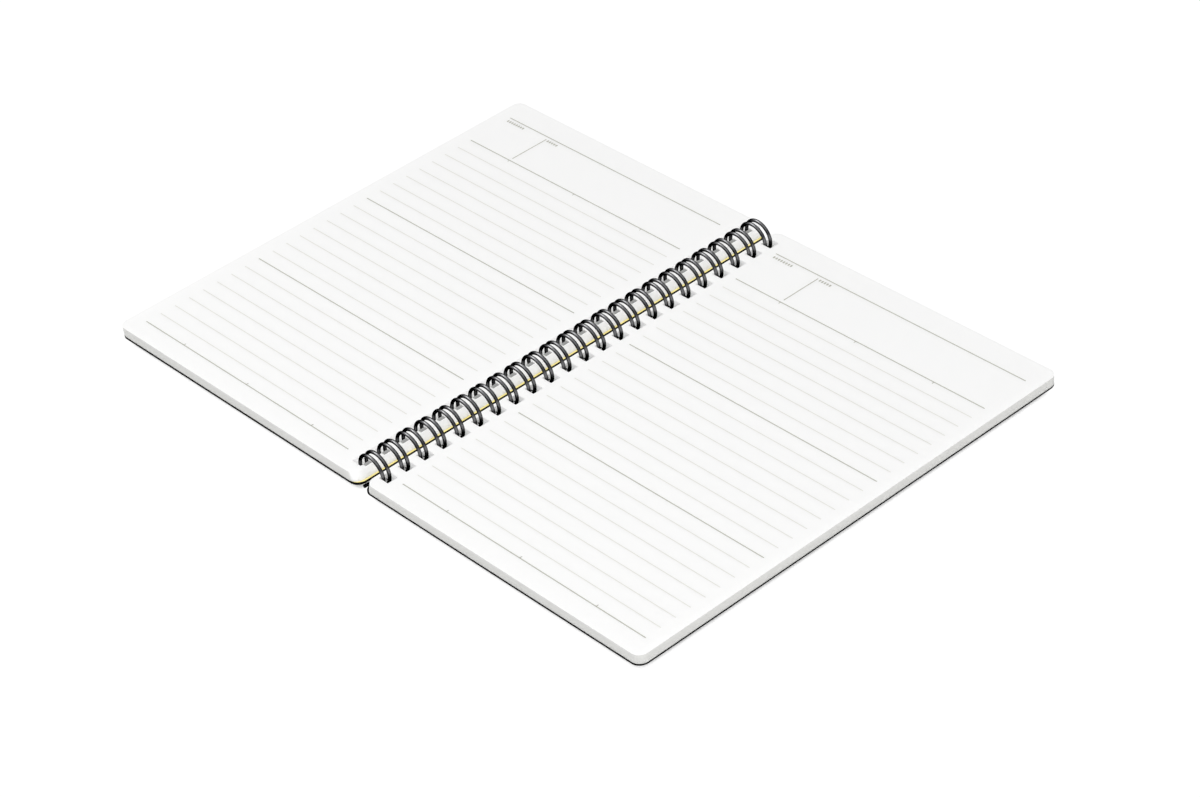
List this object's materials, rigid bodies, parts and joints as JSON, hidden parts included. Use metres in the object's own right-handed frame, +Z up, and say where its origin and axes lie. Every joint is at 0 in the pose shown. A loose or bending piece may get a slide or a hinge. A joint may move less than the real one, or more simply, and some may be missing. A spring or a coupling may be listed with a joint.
{
  "type": "spiral notebook",
  "caption": "Twin-loop wire-bound notebook lying open and flat at its middle, with ruled pages, a yellow flyleaf and black plastic covers.",
  "frame": {"origin": "under the middle of the spine, at the height of the lowest points of the wire loops, which stand on the desk", "axes": "+X across the spread towards the right-hand page, +Y along the spine towards the head of the pages, +Z up"},
  "size_m": [0.303, 0.2102, 0.0148],
  "materials": {
    "wire_coating": "glossy black nylon coating",
    "cover_plastic": "fine matte black sheet",
    "flyleaf_paper": "smooth yellow paper",
    "page_paper": "smooth white writing paper"
  },
  "bodies": {
    "comb": {"binding_wire": "wire_coating"},
    "front_board": {"front_cover": "cover_plastic"},
    "front_leaves": {"flyleaf": "flyleaf_paper", "left_pages": "page_paper"},
    "back_board": {"back_cover": "cover_plastic"},
    "back_leaves": {"right_pages": "page_paper"}
  },
  "joints": [
    {"name": "front_cover_turn", "type": "hinge", "parent": "comb", "child": "front_board", "pos_m": [-0.00025, 0, 0.00788], "axis": [0, 1, 0], "range_deg": [0, 180]},
    {"name": "front_leaves_turn", "type": "hinge", "parent": "front_board", "child": "front_leaves", "pos_m": [-0.00025, 0, 0.00788], "axis": [0, 1, 0], "range_deg": [0, 180]},
    {"name": "back_cover_turn", "type": "hinge", "parent": "comb", "child": "back_board", "pos_m": [0.00025, 0, 0.00788], "axis": [0, 1, 0], "range_deg": [-180, 0]},
    {"name": "back_leaves_turn", "type": "hinge", "parent": "back_board", "child": "back_leaves", "pos_m": [0.00025, 0, 0.00788], "axis": [0, 1, 0], "range_deg": [-180, 0]}
  ]
}
